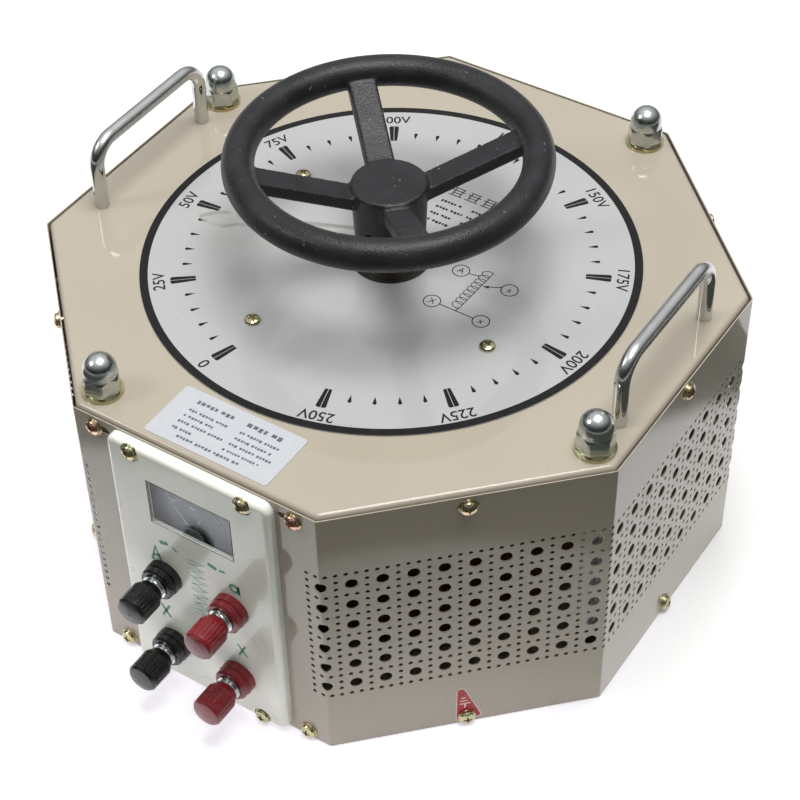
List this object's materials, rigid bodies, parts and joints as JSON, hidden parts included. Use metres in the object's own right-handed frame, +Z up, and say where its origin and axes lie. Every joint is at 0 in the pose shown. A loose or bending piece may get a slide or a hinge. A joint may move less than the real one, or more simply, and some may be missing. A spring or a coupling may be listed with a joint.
{
  "type": "variable autotransformer",
  "caption": "Octagonal steel-cased variable autotransformer with top handwheel over a round voltage dial, carry handles, voltmeter and front binding posts.",
  "frame": {"origin": "centre of the base plate's underside, on the handwheel's shaft axis", "axes": "+Z up along the shaft, -Y towards the terminal panel, +X to the operator's right when facing the terminals"},
  "size_m": [0.367, 0.401, 0.2559],
  "materials": {
    "enamel_beige": "gloss enamel",
    "base_steel": "semi-gloss paint",
    "zinc_yellow": "yellow zinc plating",
    "steel_bright": "turned",
    "chrome": "polished",
    "zinc_bright": "bright plated",
    "dial_white": "printed gloss",
    "label_paper": "matte",
    "tag_red": "film",
    "panel_plastic": "moulded satin",
    "meter_clear": "clear",
    "black_plastic": "moulded",
    "meter_face": "printed",
    "needle_dark": "painted",
    "post_black": "moulded",
    "post_red": "moulded",
    "wheel_black": "fine texture",
    "pointer_clear": "translucent",
    "bronze": "turned",
    "brass": "plain",
    "core_steel": "laminated",
    "copper_winding": "enamelled wire",
    "insulation": "phenolic",
    "cast_alloy": "cast",
    "carbon": "graphite",
    "spring_steel": "plain",
    "lead_rubber": "sleeved"
  },
  "bodies": {
    "case": {"acorn_nuts": "zinc_bright", "acorn_washers": "zinc_yellow", "base_plate": "base_steel", "base_side_screws": "zinc_yellow", "bearing_tube": "cast_alloy", "clamp_bolts": "steel_bright", "contact_finger": "brass", "core_insulation": "insulation", "cover_side_screws": "zinc_yellow", "dial_plate": "dial_white", "dial_screws": "zinc_yellow", "ground_screw": "zinc_yellow", "ground_tag": "tag_red", "handle_left": "chrome", "handle_right": "chrome", "handle_screws": "steel_bright", "internal_leads": "lead_rubber", "lower_clamp_disc": "insulation", "meter_dial": "meter_face", "meter_housing": "black_plastic", "meter_pivot_cover": "black_plastic", "meter_window": "meter_clear", "panel_screws": "zinc_yellow", "post_bases_black": "post_black", "post_bases_red": "post_red", "post_nuts": "zinc_bright", "post_studs": "steel_bright", "rating_label": "label_paper", "shaft_bushes": "bronze", "side_screw_washers": "zinc_yellow", "side_wrap": "enamel_beige", "stop_pin": "steel_bright", "terminal_panel": "panel_plastic", "tie_rod_screws": "steel_bright", "tie_rods": "steel_bright", "top_bearing": "black_plastic", "top_cover": "enamel_beige", "toroid_core": "core_steel", "upper_clamp_disc": "insulation", "winding": "copper_winding", "wrap_front": "enamel_beige"},
    "wheel_rotor": {"handwheel": "wheel_black", "wheel_set_screw": "steel_bright", "pointer": "pointer_clear", "pointer_hub": "bronze", "shaft_collar": "bronze", "shaft": "steel_bright", "brush_arm": "cast_alloy", "collector_ring": "brass", "brush_spring": "spring_steel"},
    "brush": {"carbon_brush": "carbon"},
    "needle": {"meter_needle": "needle_dark"},
    "ring_upper_left": {"clamp_ring_upper_left": "zinc_bright"},
    "knob_upper_left": {"post_knob_upper_left": "post_black"},
    "ring_upper_right": {"clamp_ring_upper_right": "zinc_bright"},
    "knob_upper_right": {"post_knob_upper_right": "post_red"},
    "ring_lower_left": {"clamp_ring_lower_left": "zinc_bright"},
    "knob_lower_left": {"post_knob_lower_left": "post_black"},
    "ring_lower_right": {"clamp_ring_lower_right": "zinc_bright"},
    "knob_lower_right": {"post_knob_lower_right": "post_red"}
  },
  "joints": [
    {"name": "wheel_turn", "type": "hinge", "parent": "case", "child": "wheel_rotor", "pos_m": [0, 0, 0.2], "axis": [0, 0, 1], "range_deg": [-276.65, 50.65]},
    {"name": "brush_lift", "type": "slide", "parent": "wheel_rotor", "child": "brush", "axis": [0, 0, 1], "range_m": [0, 0.004], "stiffness_N_per_m": 300, "springref_m": -0.004, "deforming": ["brush_spring"]},
    {"name": "needle_swing", "type": "hinge", "parent": "case", "child": "needle", "pos_m": [-0.001, -0.182, 0.126], "axis": [0, 1, 0], "range_deg": [0, 76], "stiffness_Nm_per_rad": 0.0001, "springref_deg": -17.19},
    {"name": "ring_upper_left_slide", "type": "slide", "parent": "case", "child": "ring_upper_left", "axis": [0, -1, 0], "range_m": [0, 0.004]},
    {"name": "knob_upper_left_turn", "type": "hinge", "parent": "ring_upper_left", "child": "knob_upper_left", "pos_m": [-0.0214, -0.2, 0.087], "axis": [0, -1, 0], "range_deg": [0, 1450]},
    {"name": "ring_upper_right_slide", "type": "slide", "parent": "case", "child": "ring_upper_right", "axis": [0, -1, 0], "range_m": [0, 0.004]},
    {"name": "knob_upper_right_turn", "type": "hinge", "parent": "ring_upper_right", "child": "knob_upper_right", "pos_m": [0.0214, -0.2, 0.087], "axis": [0, -1, 0], "range_deg": [0, 1450]},
    {"name": "ring_lower_left_slide", "type": "slide", "parent": "case", "child": "ring_lower_left", "axis": [0, -1, 0], "range_m": [0, 0.004]},
    {"name": "knob_lower_left_turn", "type": "hinge", "parent": "ring_lower_left", "child": "knob_lower_left", "pos_m": [-0.0214, -0.2, 0.032], "axis": [0, -1, 0], "range_deg": [0, 1450]},
    {"name": "ring_lower_right_slide", "type": "slide", "parent": "case", "child": "ring_lower_right", "axis": [0, -1, 0], "range_m": [0, 0.004]},
    {"name": "knob_lower_right_turn", "type": "hinge", "parent": "ring_lower_right", "child": "knob_lower_right", "pos_m": [0.0214, -0.2, 0.032], "axis": [0, -1, 0], "range_deg": [0, 1450]}
  ],
  "couplings": [
    {"joint": "knob_upper_left_turn", "follows": "ring_upper_left_slide", "rad_per_m": 6283.2},
    {"joint": "knob_upper_right_turn", "follows": "ring_upper_right_slide", "rad_per_m": 6283.2},
    {"joint": "knob_lower_left_turn", "follows": "ring_lower_left_slide", "rad_per_m": 6283.2},
    {"joint": "knob_lower_right_turn", "follows": "ring_lower_right_slide", "rad_per_m": 6283.2}
  ]
}
